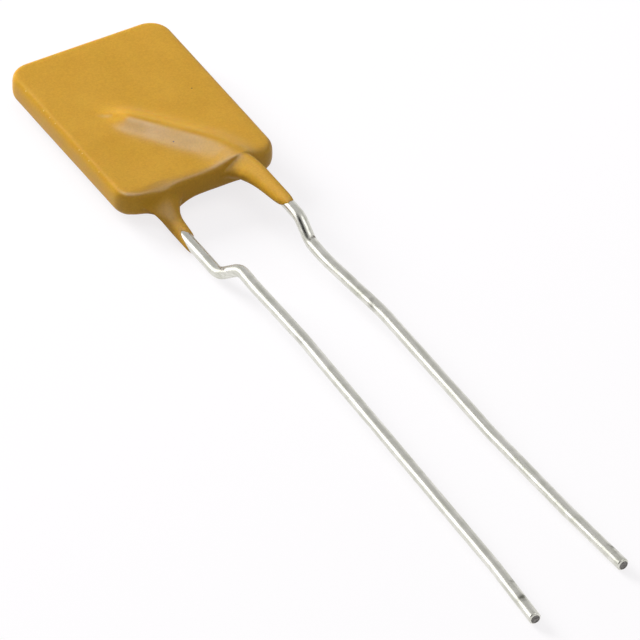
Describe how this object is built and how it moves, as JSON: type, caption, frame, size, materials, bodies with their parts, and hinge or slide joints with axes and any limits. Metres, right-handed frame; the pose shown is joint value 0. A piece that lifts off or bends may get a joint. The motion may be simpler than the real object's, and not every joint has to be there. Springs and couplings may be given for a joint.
{
  "type": "resettable fuse",
  "caption": "Flat rectangular resettable fuse dipped in mustard epoxy, with kinked tinned-wire leads leaving one edge for soldering into a circuit board.",
  "frame": {"origin": "under the middle of the whole part's box, on the surface that it lies on", "axes": "+X across the body, -Y along the leads from the body to their tips, +Z out of the body's front face, away from the surface that it lies on"},
  "size_m": [0.0112, 0.0623, 0.0031],
  "materials": {
    "coating": "satin dipped epoxy, mustard",
    "polymer": "carbon-filled polymer, black",
    "foil": "matte nickel foil",
    "solder": "bright solder",
    "lead_wire": "tinned copper wire"
  },
  "bodies": {
    "root": {"epoxy_coating": "coating", "polymer_chip": "polymer", "front_foil": "foil", "back_foil": "foil", "front_solder": "solder", "back_solder": "solder", "front_lead": "lead_wire", "back_lead": "lead_wire"}
  },
  "joints": []
}
